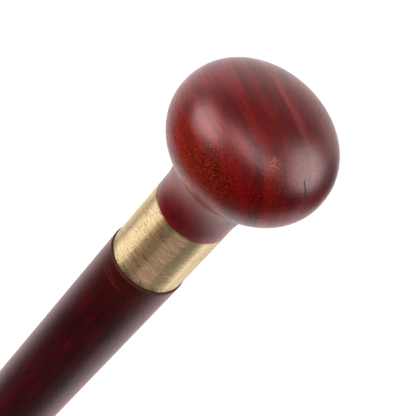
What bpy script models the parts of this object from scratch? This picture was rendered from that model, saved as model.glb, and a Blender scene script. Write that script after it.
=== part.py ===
"""Walking stick with a turned wooden knob, a brass collar and a rubber tip.

The stick stands upright on its rubber tip: +Z runs up the shaft to the knob, and the origin is
the middle of the sole. Units are metres. Every piece is turned about the Z axis.
"""

from math import acos, atan2, cos, pi, radians, sin, tan

import bmesh
import bpy
from mathutils import Vector
from mathutils.geometry import interpolate_bezier

# Whole stick
STICK_HEIGHT = 0.914
FIT_GAP = 0.0003

# Knob and its neck, turned from one piece
KNOB_DIAMETER = 0.0496
KNOB_CROWN_HEIGHT = 0.0170
KNOB_CROWN_FULLNESS = 2.27
KNOB_UNDERSIDE_DEPTH = 0.0182
KNOB_UNDERSIDE_FULLNESS = 1.95
NECK_LENGTH = 0.0323
NECK_STRAIGHT = 0.0033
NECK_EDGE = 0.0002
COVE_WIDTH = 0.0056
COVE_LOWER_REACH = 0.0060
COVE_UPPER_REACH = 0.0045

# Brass collar
COLLAR_DIAMETER = 0.0240
COLLAR_LENGTH = 0.0270
COLLAR_WALL = 0.0010
COLLAR_TOP_EDGE = 0.0002
COLLAR_BOTTOM_EDGE = 0.0004

# Shaft
SHAFT_PROUD_OF_COLLAR = 0.0004
SHAFT_FOOT_DIAMETER = 0.0165
SHAFT_SHOULDER_EDGE = 0.0003
SHAFT_FOOT_EDGE = 0.0010
TENON_EDGE = 0.0004

# Screw joint between knob and shaft
THREAD_DIAMETER = 0.0100
THREAD_PITCH = 0.0020
THREAD_DEPTH = 0.0010
STUD_IN_KNOB = 0.0150
STUD_IN_SHAFT = 0.0150
STUD_END_ROOM = 0.0015
INSERT_DIAMETER = 0.0145
INSERT_GROOVES = 3
INSERT_GROOVE_WIDTH = 0.0012
INSERT_GROOVE_DEPTH = 0.0006
DRIVER_SLOT_WIDTH = 0.0016
DRIVER_SLOT_DEPTH = 0.0016
DRILL_POINT_ANGLE = radians(118)
WASHER_THICKNESS = 0.0010

# Rubber tip and the steel disc in it
TIP_HEIGHT = 0.0380
TIP_SOLE = 0.0070
TIP_WALL = 0.0032
TIP_BEAD_PROUD = 0.0012
TIP_BEAD_HEIGHT = 0.0050
TIP_BEAD_EDGE = 0.0010
TIP_NECK_LENGTH = 0.0080
TIP_BASE_DIAMETER = 0.0310
TIP_BASE_HEIGHT = 0.0060
TIP_BASE_EDGE = 0.0010
TREAD_PAD_DIAMETER = 0.0070
TREAD_GROOVE_WIDTH = 0.0014
TREAD_RIB_WIDTH = 0.0020
TREAD_DEPTH = 0.0012
DISC_THICKNESS = 0.0012

# How finely the round pieces are cut
ROUND_STEPS = 40
SMALL_ROUND_STEPS = 20
EDGE_STEPS = 3
OUTLINE_STEPS = 10
THREAD_ROWS_PER_PITCH = 5
MERGE = 0.00001
SHARP_ANGLE = radians(32)

# Heights that follow from the sizes above
DISC_BOTTOM = TIP_SOLE + FIT_GAP
DISC_TOP = DISC_BOTTOM + DISC_THICKNESS
SHAFT_FOOT = DISC_TOP + FIT_GAP
KNOB_WIDEST = STICK_HEIGHT - KNOB_CROWN_HEIGHT
NECK_FACE = KNOB_WIDEST - NECK_LENGTH
COLLAR_TOP = NECK_FACE - FIT_GAP
COLLAR_BOTTOM = COLLAR_TOP - COLLAR_LENGTH
SHOULDER = COLLAR_BOTTOM - FIT_GAP
WASHER_BOTTOM = COLLAR_TOP - WASHER_THICKNESS
TENON_TOP = WASHER_BOTTOM - FIT_GAP
STUD_TOP = NECK_FACE + STUD_IN_KNOB
STUD_BOTTOM = TENON_TOP - STUD_IN_SHAFT
KNOB_INSERT_BOTTOM = NECK_FACE + FIT_GAP
KNOB_INSERT_TOP = STUD_TOP + STUD_END_ROOM
SHAFT_INSERT_TOP = TENON_TOP - FIT_GAP
SHAFT_INSERT_BOTTOM = STUD_BOTTOM - STUD_END_ROOM

# Radii that follow from the sizes above
NECK_RADIUS = COLLAR_DIAMETER / 2
SHAFT_TOP_DIAMETER = COLLAR_DIAMETER + 2 * SHAFT_PROUD_OF_COLLAR
COLLAR_BORE_RADIUS = NECK_RADIUS - COLLAR_WALL
TENON_RADIUS = COLLAR_BORE_RADIUS - FIT_GAP
STUD_RADIUS = THREAD_DIAMETER / 2
INSERT_BORE_RADIUS = STUD_RADIUS + FIT_GAP
INSERT_RADIUS = INSERT_DIAMETER / 2
DRILLED_RADIUS = INSERT_RADIUS + FIT_GAP
DRILL_POINT_LENGTH = DRILLED_RADIUS / tan(DRILL_POINT_ANGLE / 2)


def shaft_radius(height):
    """Radius of the shaft's straight taper at a height between its foot and its shoulder."""
    share = (height - SHAFT_FOOT) / (SHOULDER - SHAFT_FOOT)
    return (SHAFT_FOOT_DIAMETER + (SHAFT_TOP_DIAMETER - SHAFT_FOOT_DIAMETER) * share) / 2


def rounded(corners, edges):
    """Outline through (radius, height) corners, each rounded by an arc of its own edge radius."""
    outline = []
    for index, (corner, edge) in enumerate(zip(corners, edges)):
        if edge == 0:
            outline.append(corner)
            continue
        here = Vector(corner)
        back = (Vector(corners[index - 1]) - here).normalized()
        ahead = (Vector(corners[(index + 1) % len(corners)]) - here).normalized()
        half_angle = back.angle(ahead) / 2
        middle = here + (back + ahead).normalized() * edge / sin(half_angle)
        first = here + back * edge / tan(half_angle) - middle
        last = here + ahead * edge / tan(half_angle) - middle
        for step in range(EDGE_STEPS + 1):
            spoke = first.lerp(last, step / EDGE_STEPS).normalized() * edge
            outline.append(tuple(middle + spoke))
    return outline


def knob_arc(depth, fullness, first_radius, last_radius):
    """Part of a superellipse as wide as the knob, from one radius to another.

    A point obeys (r / R) ^ fullness + (h / depth) ^ fullness = 1, where R is the knob's radius and
    h is counted from the knob's widest point, up or down as depth is positive or negative.
    """
    widest = KNOB_DIAMETER / 2
    first = acos((first_radius / widest) ** (fullness / 2))
    last = acos((last_radius / widest) ** (fullness / 2))
    arc = []
    for step in range(OUTLINE_STEPS + 1):
        turn = first + (last - first) * step / OUTLINE_STEPS
        radius = widest * max(cos(turn), 0) ** (2 / fullness)
        height = depth * max(sin(turn), 0) ** (2 / fullness)
        arc.append((radius, KNOB_WIDEST + height))
    return arc


def knob_outline():
    """Outside of knob and neck, from the middle of the crown down to the neck's straight part."""
    widest = KNOB_DIAMETER / 2
    crown = knob_arc(KNOB_CROWN_HEIGHT, KNOB_CROWN_FULLNESS, 0, widest)
    underside = knob_arc(
        -KNOB_UNDERSIDE_DEPTH, KNOB_UNDERSIDE_FULLNESS, widest, NECK_RADIUS + COVE_WIDTH)
    cove_top = Vector(underside[-1])
    slope = (cove_top - Vector(underside[-2])).normalized()
    waist = Vector((NECK_RADIUS, NECK_FACE + NECK_STRAIGHT))
    upper_handle = cove_top + slope * COVE_UPPER_REACH
    lower_handle = waist + Vector((0, COVE_LOWER_REACH))
    cove = interpolate_bezier(cove_top, upper_handle, lower_handle, waist, OUTLINE_STEPS)
    return crown[:-1] + underside[:-1] + [tuple(point) for point in cove]


def material(name, colour, roughness, metallic=0.0):
    """One plain Principled material."""
    made = bpy.data.materials.new(name)
    made.use_nodes = True
    shader = made.node_tree.nodes["Principled BSDF"]
    shader.inputs["Base Color"].default_value = (*colour, 1)
    shader.inputs["Roughness"].default_value = roughness
    shader.inputs["Metallic"].default_value = metallic
    return made


def turned(name, outline, finish, steps=ROUND_STEPS):
    """A piece turned about Z from its outline, which runs down the outside and up any bore.

    An outline that starts on the axis also ends there. Any other outline is closed to a ring.
    """
    mesh = bpy.data.meshes.new(name)
    vertices = [(radius, 0, height) for radius, height in outline]
    edges = [(index, index + 1) for index in range(len(vertices) - 1)]
    if outline[0][0] > 0:
        edges.append((len(vertices) - 1, 0))
    mesh.from_pydata(vertices, edges, [])
    mesh.materials.append(finish)
    piece = bpy.data.objects.new(name, mesh)
    parts.objects.link(piece)
    screw = piece.modifiers.new("Turning", "SCREW")
    screw.axis = "Z"
    screw.angle = 2 * pi
    screw.steps = steps
    screw.render_steps = steps
    screw.use_merge_vertices = True
    screw.merge_threshold = MERGE
    graph = bpy.context.evaluated_depsgraph_get()
    piece.data = bpy.data.meshes.new_from_object(piece.evaluated_get(graph))
    piece.modifiers.clear()
    piece.data.shade_smooth()
    piece.data.set_sharp_from_angle(angle=SHARP_ANGLE)
    return piece


def press_thread(piece, wall_radius, bottom, top, run_out):
    """Press a right-hand thread into a piece's round wall, between two heights.

    The wall's radius drops by half the thread's depth times 1 + cos(turn). The turn grows by a
    full circle with each pitch of height and lessens by the point's own angle about the axis. The
    depth fades away over run_out at both ends.
    """
    for vertex in piece.data.vertices:
        across = Vector((vertex.co.x, vertex.co.y))
        if abs(across.length - wall_radius) > MERGE:
            continue
        height = vertex.co.z
        fade = min(1, (height - bottom) / run_out, (top - height) / run_out)
        turn = 2 * pi * (height - NECK_FACE) / THREAD_PITCH - atan2(across.y, across.x)
        groove = THREAD_DEPTH / 2 * (1 + cos(turn)) * fade
        vertex.co.xy = across * (wall_radius - groove) / wall_radius


def thread_rows(radius, first, last):
    """Points along a straight wall, close enough together to press a thread into it."""
    count = round(abs(last - first) / THREAD_PITCH * THREAD_ROWS_PER_PITCH)
    return [(radius, first + (last - first) * row / count) for row in range(count + 1)]


def make_knob():
    """Knob and neck in one, with a blind bore up the neck for its threaded insert."""
    bore_top = KNOB_INSERT_TOP + FIT_GAP
    neck_end = rounded(
        [(NECK_RADIUS, NECK_FACE + NECK_STRAIGHT), (NECK_RADIUS, NECK_FACE),
         (DRILLED_RADIUS, NECK_FACE)],
        [0, NECK_EDGE, 0])
    bore = [(DRILLED_RADIUS, bore_top), (0, bore_top + DRILL_POINT_LENGTH)]
    turned("knob", knob_outline()[:-1] + neck_end + bore, red_wood)


def make_collar():
    """Brass tube over the shaft's tenon, with softened outer edges."""
    outline = rounded(
        [(NECK_RADIUS, COLLAR_TOP), (NECK_RADIUS, COLLAR_BOTTOM),
         (COLLAR_BORE_RADIUS, COLLAR_BOTTOM), (COLLAR_BORE_RADIUS, COLLAR_TOP)],
        [COLLAR_TOP_EDGE, COLLAR_BOTTOM_EDGE, 0, 0])
    turned("collar", outline, brass)


def make_shaft():
    """Tapered shaft, with a tenon for the collar and a blind bore for its threaded insert."""
    bore_bottom = SHAFT_INSERT_BOTTOM - FIT_GAP
    outline = rounded(
        [(0, bore_bottom - DRILL_POINT_LENGTH), (DRILLED_RADIUS, bore_bottom),
         (DRILLED_RADIUS, TENON_TOP), (TENON_RADIUS, TENON_TOP), (TENON_RADIUS, SHOULDER),
         (shaft_radius(SHOULDER), SHOULDER), (shaft_radius(SHAFT_FOOT), SHAFT_FOOT),
         (0, SHAFT_FOOT)],
        [0, 0, 0, TENON_EDGE, 0, SHAFT_SHOULDER_EDGE, SHAFT_FOOT_EDGE, 0])
    turned("shaft", outline, dark_wood)


def make_joint_washer():
    """Leather washer round the stud, on the tenon's end and flush with the collar's mouth."""
    outline = [(TENON_RADIUS, COLLAR_TOP), (TENON_RADIUS, WASHER_BOTTOM),
               (INSERT_BORE_RADIUS, WASHER_BOTTOM), (INSERT_BORE_RADIUS, COLLAR_TOP)]
    turned("joint_washer", outline, leather)


def make_stud():
    """Steel stud with one right-hand thread from end to end, and a bevel at both ends."""
    root_radius = STUD_RADIUS - THREAD_DEPTH
    rows = thread_rows(STUD_RADIUS, STUD_TOP - THREAD_DEPTH, STUD_BOTTOM + THREAD_DEPTH)
    outline = [(0, STUD_TOP), (root_radius, STUD_TOP), *rows,
               (root_radius, STUD_BOTTOM), (0, STUD_BOTTOM)]
    stud = turned("stud", outline, steel, SMALL_ROUND_STEPS)
    press_thread(stud, STUD_RADIUS, STUD_BOTTOM, STUD_TOP, THREAD_DEPTH)


def insert_outline(bottom, top):
    """Outline of a threaded insert: grooves outside, which grip the wood, and a bore right through."""
    spacing = (top - bottom) / (INSERT_GROOVES + 1)
    outline = [(INSERT_RADIUS, top)]
    for count in range(1, INSERT_GROOVES + 1):
        middle = top - spacing * count
        outline += [(INSERT_RADIUS, middle + INSERT_GROOVE_WIDTH / 2),
                    (INSERT_RADIUS - INSERT_GROOVE_DEPTH, middle),
                    (INSERT_RADIUS, middle - INSERT_GROOVE_WIDTH / 2)]
    outline.append((INSERT_RADIUS, bottom))
    return outline + thread_rows(INSERT_BORE_RADIUS, bottom, top)


def make_insert(name, bottom, top, slotted_end):
    """Brass insert with a thread that meshes with the stud, and a driver slot across one end."""
    insert = turned(name, insert_outline(bottom, top), turned_brass, SMALL_ROUND_STEPS)
    press_thread(insert, INSERT_BORE_RADIUS, bottom, top, THREAD_PITCH / 2)
    box = bmesh.new()
    bmesh.ops.create_cube(box, size=1)
    slot_size = Vector((INSERT_DIAMETER * 2, DRIVER_SLOT_WIDTH, DRIVER_SLOT_DEPTH * 2))
    bmesh.ops.scale(box, vec=slot_size, verts=box.verts)
    mesh = bpy.data.meshes.new(name + "_slot")
    box.to_mesh(mesh)
    box.free()
    slot = bpy.data.objects.new(name + "_slot", mesh)
    slot.location.z = slotted_end
    slot.hide_render = True
    slot.display_type = "WIRE"
    cutters.objects.link(slot)
    cut = insert.modifiers.new("Driver slot", "BOOLEAN")
    cut.operation = "DIFFERENCE"
    cut.object = slot


def make_tip_disc():
    """Steel disc between the shaft's foot and the rubber sole, as wide as the shaft's foot."""
    radius = SHAFT_FOOT_DIAMETER / 2
    outline = [(0, DISC_TOP), (radius, DISC_TOP), (radius, DISC_BOTTOM), (0, DISC_BOTTOM)]
    turned("tip_disc", outline, steel)


def tread_outline():
    """The sole from its rim to its middle: ring grooves between ribs, round a flat middle pad."""
    outline = []
    outer = TIP_BASE_DIAMETER / 2 - TIP_BASE_EDGE - TREAD_RIB_WIDTH
    while outer - TREAD_GROOVE_WIDTH > TREAD_PAD_DIAMETER / 2:
        inner = outer - TREAD_GROOVE_WIDTH
        outline += [(outer, 0), (outer, TREAD_DEPTH), (inner, TREAD_DEPTH), (inner, 0)]
        outer = inner - TREAD_RIB_WIDTH
    return outline


def make_rubber_tip():
    """Rubber foot: a socket for the shaft, a bead round its mouth, a waist and a wide sole."""
    socket_floor = shaft_radius(SHAFT_FOOT) + FIT_GAP
    socket_mouth = shaft_radius(TIP_HEIGHT) + FIT_GAP
    neck = socket_mouth + TIP_WALL
    bead = neck + TIP_BEAD_PROUD
    bead_bottom = TIP_HEIGHT - TIP_BEAD_HEIGHT
    neck_top = bead_bottom - TIP_BEAD_PROUD
    waist = neck_top - TIP_NECK_LENGTH
    base = TIP_BASE_DIAMETER / 2
    mouth = rounded(
        [(0, TIP_SOLE), (socket_floor, TIP_SOLE), (socket_mouth, TIP_HEIGHT), (bead, TIP_HEIGHT),
         (bead, bead_bottom), (neck, neck_top), (neck, waist)],
        [0, 0, 0, TIP_BEAD_EDGE, TIP_BEAD_EDGE, 0, 0])
    flare = interpolate_bezier(
        Vector((neck, waist)), Vector((neck, waist / 2)),
        Vector(((neck + base) / 2, TIP_BASE_HEIGHT)), Vector((base, TIP_BASE_HEIGHT)),
        OUTLINE_STEPS)
    flare = [tuple(point) for point in flare]
    rim = rounded([flare[-2], flare[-1], (base, 0), (0, 0)],
                  [0, TIP_BASE_EDGE / 2, TIP_BASE_EDGE, 0])
    turned("rubber_tip", mouth + flare[1:-2] + rim[:-1] + tread_outline() + rim[-1:], rubber)


for old in list(bpy.data.objects):
    bpy.data.objects.remove(old)

parts = bpy.data.collections.new("walking_stick")
cutters = bpy.data.collections.new("walking_stick_cutters")
bpy.context.scene.collection.children.link(parts)
bpy.context.scene.collection.children.link(cutters)

red_wood = material("Polished red hardwood", (0.20, 0.016, 0.016), 0.28)
dark_wood = material("Stained dark hardwood", (0.055, 0.006, 0.008), 0.35)
brass = material("Brushed brass", (0.66, 0.50, 0.27), 0.32, 1.0)
turned_brass = material("Turned brass", (0.60, 0.43, 0.20), 0.40, 1.0)
steel = material("Plated steel", (0.55, 0.55, 0.56), 0.35, 1.0)
leather = material("Brown leather", (0.09, 0.045, 0.025), 0.75)
rubber = material("Black rubber", (0.018, 0.018, 0.019), 0.70)

make_knob()
make_insert("knob_insert", KNOB_INSERT_BOTTOM, KNOB_INSERT_TOP, KNOB_INSERT_BOTTOM)
make_joint_washer()
make_collar()
make_stud()
make_insert("shaft_insert", SHAFT_INSERT_BOTTOM, SHAFT_INSERT_TOP, SHAFT_INSERT_TOP)
make_shaft()
make_tip_disc()
make_rubber_tip()
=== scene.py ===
"""Looks of a walking stick: a turned red hardwood knob, a brushed brass collar and a dark shaft.

The pieces are turned about the Z axis, as the CAD nodes are. Lengths are metres, and the patterns
of the materials are worked out in millimetres.
"""

from math import cos, pi, radians, sin, tan

import bpy
import numpy as np
from mathutils import Matrix, Vector


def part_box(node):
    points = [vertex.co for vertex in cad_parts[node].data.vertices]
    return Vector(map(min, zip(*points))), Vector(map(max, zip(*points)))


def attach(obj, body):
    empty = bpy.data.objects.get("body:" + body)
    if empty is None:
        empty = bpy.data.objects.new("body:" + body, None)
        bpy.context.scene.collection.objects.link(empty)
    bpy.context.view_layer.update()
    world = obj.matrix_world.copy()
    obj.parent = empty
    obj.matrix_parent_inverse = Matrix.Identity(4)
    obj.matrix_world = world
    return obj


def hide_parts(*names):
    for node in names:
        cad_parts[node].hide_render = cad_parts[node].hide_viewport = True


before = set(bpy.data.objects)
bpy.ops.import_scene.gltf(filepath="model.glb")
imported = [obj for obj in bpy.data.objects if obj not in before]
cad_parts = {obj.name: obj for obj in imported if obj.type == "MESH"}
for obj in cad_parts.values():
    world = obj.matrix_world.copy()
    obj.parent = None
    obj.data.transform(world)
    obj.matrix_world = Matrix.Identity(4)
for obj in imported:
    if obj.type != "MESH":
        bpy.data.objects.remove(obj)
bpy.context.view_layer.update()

MM = 0.001
FIT_GAP = 0.3 * MM

# Knob and its neck
CROWN_HEIGHT = 17.0 * MM
CROWN_FULLNESS = 2.27
UNDERSIDE_DEPTH = 18.2 * MM
UNDERSIDE_FULLNESS = 1.95
COVE_WIDTH = 5.6 * MM
COVE_LOWER_REACH = 6.0 * MM
COVE_UPPER_REACH = 4.5 * MM
NECK_STRAIGHT = 3.3 * MM
NECK_EDGE = 0.2 * MM
DRILL_POINT_ANGLE = radians(118)

# Collar and shaft
COLLAR_WALL = 1.0 * MM
COLLAR_TOP_EDGE = 0.1 * MM
COLLAR_BOTTOM_EDGE = 0.4 * MM
SHAFT_FOOT_DIAMETER = 16.5 * MM
SHAFT_SHOULDER_EDGE = 0.3 * MM
SHAFT_FOOT_EDGE = 1.0 * MM
TENON_EDGE = 0.4 * MM

# Screw joint
THREAD_PITCH = 2.0 * MM
THREAD_DEPTH = 1.0 * MM
THREAD_FLAT = 0.1
INSERT_GROOVES = 3
INSERT_GROOVE_WIDTH = 1.2 * MM
INSERT_GROOVE_DEPTH = 0.6 * MM
DRIVER_SLOT_WIDTH = 1.6 * MM
DRIVER_SLOT_DEPTH = 1.6 * MM
INSERT_EDGE = 0.2 * MM
WASHER_EDGE = 0.25 * MM

# Rubber tip
TIP_SOLE = 7.0 * MM
TIP_WALL = 3.2 * MM
TIP_BEAD_PROUD = 1.2 * MM
TIP_BEAD_HEIGHT = 5.0 * MM
TIP_BEAD_EDGE = 1.0 * MM
TIP_NECK_LENGTH = 8.0 * MM
TIP_BASE_HEIGHT = 6.0 * MM
TIP_BASE_EDGE = 1.0 * MM
TREAD_PAD_DIAMETER = 7.0 * MM
TREAD_GROOVE_WIDTH = 1.4 * MM
TREAD_RIB_WIDTH = 2.0 * MM
TREAD_DEPTH = 1.2 * MM
TREAD_EDGE = 0.25 * MM
DISC_EDGE = 0.15 * MM
MOULD_LINE_WIDTH = 0.5 * MM
MOULD_LINE_HEIGHT = 0.15 * MM
MOULD_LINE_ANGLE = radians(45)

# Fineness of the meshes: facets round Z, rows along each curve, and the angle that stays sharp
KNOB_FACETS = 224
COLLAR_FACETS = 192
SHAFT_FACETS = 160
TIP_FACETS = 160
SMALL_FACETS = 96
THREAD_FACETS = 64
THREAD_ROWS_PER_PITCH = 16
CROWN_ROWS = 64
UNDERSIDE_ROWS = 40
COVE_ROWS = 32
FLARE_ROWS = 40
SHARP_ANGLE = radians(35)

# Camera of the photograph: where it stands from the collar's middle, and what it sees
PICTURE_SIDE = 416
FOCAL_LENGTH_PX = 1506.9
SENSOR_MM = 36
NEAREST_SEEN = 10 * MM
FARTHEST_SEEN = 50.0
COLLAR_PX = (171.04, 233.52)
COLLAR_DISTANCE = 436.4 * MM
CAMERA_ELEVATION = radians(43.03)
STICK_LEAN_IN_PICTURE = radians(47.71)

# Places of the pieces, read from the frame
knob_low, knob_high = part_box("knob")
collar_low, collar_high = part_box("collar")
shaft_low, shaft_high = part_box("shaft")
stud_low, stud_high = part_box("stud")
tip_low, tip_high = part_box("rubber_tip")
disc_low, disc_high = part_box("tip_disc")
washer_low, washer_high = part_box("joint_washer")
insert_low, insert_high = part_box("knob_insert")
lower_insert_low, lower_insert_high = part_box("shaft_insert")

KNOB_RADIUS = knob_high.x
KNOB_WIDEST = knob_high.z - CROWN_HEIGHT
NECK_FACE = knob_low.z
NECK_RADIUS = collar_high.x
SHOULDER = collar_low.z - FIT_GAP
SHAFT_TOP_RADIUS = shaft_high.x
SHAFT_FOOT = shaft_low.z
TENON_RADIUS = NECK_RADIUS - COLLAR_WALL - FIT_GAP
STUD_RADIUS = stud_high.x
INSERT_RADIUS = insert_high.x
INSERT_BORE_RADIUS = STUD_RADIUS + FIT_GAP
DRILLED_RADIUS = INSERT_RADIUS + FIT_GAP
DRILL_POINT_LENGTH = DRILLED_RADIUS / tan(DRILL_POINT_ANGLE / 2)
TIP_BASE_RADIUS = tip_high.x


def bezier(start, first_handle, last_handle, end, steps):
    """Points of a cubic curve: (1-t)^3, 3t(1-t)^2, 3t^2(1-t) and t^3 weigh its four points."""
    t = np.linspace(0, 1, steps + 1)[:, None]
    return ((1 - t) ** 3 * np.array(start) + 3 * t * (1 - t) ** 2 * np.array(first_handle)
            + 3 * t ** 2 * (1 - t) * np.array(last_handle) + t ** 3 * np.array(end))


def rounded(corners, edges, steps=5):
    """Outline through (radius, height) corners, with an arc of the edge's radius at each.

    The arc touches both sides of the corner: its middle lies edge / sin(half angle) from the
    corner, along the line that halves the angle.
    """
    outline = []
    for index, (corner, edge) in enumerate(zip(corners, edges)):
        if edge == 0:
            outline.append(corner)
            continue
        here = Vector(corner)
        back = (Vector(corners[index - 1]) - here).normalized()
        ahead = (Vector(corners[(index + 1) % len(corners)]) - here).normalized()
        half = back.angle(ahead) / 2
        middle = here + (back + ahead).normalized() * edge / sin(half)
        first = here + back * edge / tan(half) - middle
        last = here + ahead * edge / tan(half) - middle
        for step in range(steps + 1):
            outline.append(tuple(middle + first.lerp(last, step / steps).normalized() * edge))
    return np.array(outline)


def superellipse(depth, fullness, first_radius, last_radius, steps):
    """Arc where (r / R) ^ fullness + (h / depth) ^ fullness = 1, with R the knob's radius."""
    first = np.arccos((first_radius / KNOB_RADIUS) ** (fullness / 2))
    last = np.arccos((last_radius / KNOB_RADIUS) ** (fullness / 2))
    turn = np.linspace(first, last, steps + 1)
    radius = KNOB_RADIUS * np.clip(np.cos(turn), 0, 1) ** (2 / fullness)
    height = KNOB_WIDEST + depth * np.clip(np.sin(turn), 0, 1) ** (2 / fullness)
    return np.stack([radius, height], 1)


def shaft_radius(height):
    """Straight taper from the foot's radius to the shoulder's."""
    share = (height - SHAFT_FOOT) / (SHOULDER - SHAFT_FOOT)
    return SHAFT_FOOT_DIAMETER / 2 + (SHAFT_TOP_RADIUS - SHAFT_FOOT_DIAMETER / 2) * share


def put(name, data):
    """A new object in the scene, at the origin and unturned."""
    made = bpy.data.objects.new(name, data)
    bpy.context.scene.collection.objects.link(made)
    return made


def smooth(mesh):
    """Shade a mesh smooth, apart from its sharp edges."""
    mesh.shade_smooth()
    mesh.set_sharp_from_angle(angle=SHARP_ANGLE)


def turned(name, outline, around, relief=None):
    """Surface of revolution: outline point (r, h) goes round Z as (r cos a, r sin a, h).

    The outline runs down the outside and up a bore. One that starts on the axis also ends there
    and closes at two poles, and any other closes on itself. relief(r, h, a) is the depth that is
    taken off the radius at each point of the grid.
    """
    outline = np.asarray(outline, float)
    poles = outline[0, 0] == 0
    rows = outline[1:-1] if poles else outline
    angle = np.arange(around) * 2 * pi / around
    radius, turn = np.meshgrid(rows[:, 0], angle, indexing="ij")
    height = np.repeat(rows[:, 1:], around, 1)
    if relief is not None:
        radius = radius - relief(radius, height, turn)
    points = np.stack([radius * np.cos(turn), radius * np.sin(turn), height], 2).reshape(-1, 3)
    index = np.arange(len(rows) * around).reshape(len(rows), around)
    if not poles:
        index = np.vstack([index, index[:1]])
    beside = np.roll(index, -1, 1)
    quads = np.stack([index[:-1], index[1:], beside[1:], beside[:-1]], 2).reshape(-1, 4)
    faces = quads.tolist()
    if poles:
        first, last = len(points), len(points) + 1
        points = np.vstack([points, [[0, 0, outline[0, 1]], [0, 0, outline[-1, 1]]]])
        faces += [[first, a, b] for a, b in zip(index[0].tolist(), beside[0].tolist())]
        faces += [[a, last, b] for a, b in zip(index[-1].tolist(), beside[-1].tolist())]
    mesh = bpy.data.meshes.new(name)
    mesh.from_pydata(points.tolist(), [], faces)
    smooth(mesh)
    return put(name, mesh)


def wall_rows(radius, first, last):
    """Points along a straight wall, close enough together to cut a thread into it."""
    count = round(abs(last - first) / THREAD_PITCH * THREAD_ROWS_PER_PITCH)
    return np.stack([np.full(count + 1, radius), np.linspace(first, last, count + 1)], 1)


def thread_groove(height, angle):
    """Depth of a right-hand thread with straight flanks.

    The phase grows by one with each pitch of height and falls by one with each turn about the
    axis. The groove is deepest at phase 0, and its depth falls straight to nothing at 1/2, with
    a tenth cut flat at the crest and at the root.
    """
    phase = (height - NECK_FACE) / THREAD_PITCH - angle / (2 * pi)
    away = np.abs((phase + 0.5) % 1 - 0.5) * 2
    return THREAD_DEPTH * (1 - np.clip((away - THREAD_FLAT) / (1 - 2 * THREAD_FLAT), 0, 1))


def srgb(code):
    """Linear colour of a hex code: ((c + 0.055) / 1.055) ^ 2.4, or c / 12.92 where c is small."""
    values = np.array([int(code[i:i + 2], 16) / 255 for i in (1, 3, 5)])
    linear = np.where(values > 0.04045, ((values + 0.055) / 1.055) ** 2.4, values / 12.92)
    return (*linear.tolist(), 1.0)


def connect(tree, node, inputs):
    """Give a node's sockets a value, a colour as a hex code, or an output to link them to."""
    for socket, value in inputs.items():
        if isinstance(value, bpy.types.NodeSocket):
            tree.links.new(value, node.inputs[socket])
        else:
            node.inputs[socket].default_value = srgb(value) if isinstance(value, str) else value


def add(tree, kind, inputs=None, out=0, stops=None, **settings):
    """Add one node with its settings and links, and hand back one of its outputs.

    A MapRange takes its range from 1 to 2 and gives 3 to 4: each is 0 to 1 where left out.
    """
    made = tree.nodes.new("ShaderNode" + kind)
    for name, value in settings.items():
        setattr(made, name, value)
    connect(tree, made, inputs or {})
    if stops:
        ramp = made.color_ramp.elements
        while len(ramp) < len(stops):
            ramp.new(1)
        for element, (position, colour) in zip(ramp, stops):
            element.position = position
            element.color = srgb(colour)
    return made.outputs[out]


def new_material(name):
    """An empty material: its tree, its shader and the place on the piece that patterns read."""
    made = bpy.data.materials.new(name)
    made.use_nodes = True
    tree = made.node_tree
    return made, tree, tree.nodes["Principled BSDF"], add(tree, "TexCoord", out="Object")


def coats(tree, ground, *layers):
    """Colour of a ground with coats laid over it: each is the part it covers and its colour."""
    for part, colour in layers:
        ground = add(tree, "Mix", {"Factor": part, 6: ground, 7: colour}, 2, data_type="RGBA")
    return ground


def roughened(tree, ground, *layers):
    """Roughness of a ground, with so much more of it on each part."""
    for part, more in layers:
        ground = add(tree, "Math", {0: part, 1: more, 2: ground}, operation="MULTIPLY_ADD")
    return ground


def overlap(tree, whole, *parts):
    """What is left where all parts meet: their product."""
    for part in parts:
        whole = add(tree, "Math", {0: whole, 1: part}, operation="MULTIPLY")
    return whole


def band(tree, place, direction, middle, first, last, **settings):
    """1 within first of a middle along a direction, falling to 0 where the place is last away."""
    along = add(tree, "VectorMath", {0: place, 1: direction}, "Value", operation="DOT_PRODUCT")
    off = add(tree, "Math", {0: along, 1: middle}, operation="SUBTRACT")
    away = add(tree, "Math", {0: off}, operation="ABSOLUTE")
    return add(tree, "MapRange", {"Value": away, 1: first, 2: last, 3: 1.0, 4: 0.0}, **settings)


def towards(tree, way, direction, first, last, low=0.0, high=1.0):
    """low where a way's cosine with a direction is first, smoothly turning to high at last."""
    cosine = add(tree, "VectorMath", {0: way, 1: direction}, "Value", operation="DOT_PRODUCT")
    return add(tree, "MapRange", {"Value": cosine, 1: first, 2: last, 3: low, 4: high},
               interpolation_type="SMOOTHSTEP")


def facing(tree, place, azimuth, full, none):
    """1 on the side of a turned piece that faces an azimuth, from full degrees off it to none."""
    sideways = add(tree, "VectorMath", {0: place, 1: (1, 1, 0)}, operation="MULTIPLY")
    outward = add(tree, "VectorMath", {0: sideways}, operation="NORMALIZE")
    side = (sin(radians(azimuth)), -cos(radians(azimuth)), 0)
    return towards(tree, outward, side, cos(radians(none)), cos(radians(full)))


def near(tree, place, middle, first, last):
    """1 within first millimetres of a point of the knob, falling to 0 at last."""
    point = Vector(middle) * MM + Vector((0, 0, KNOB_WIDEST))
    away = add(tree, "VectorMath", {0: place, 1: point}, "Value", operation="DISTANCE")
    return add(tree, "MapRange", {"Value": away, 1: first * MM, 2: last * MM, 3: 1.0, 4: 0.0},
               interpolation_type="SMOOTHSTEP")


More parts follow.
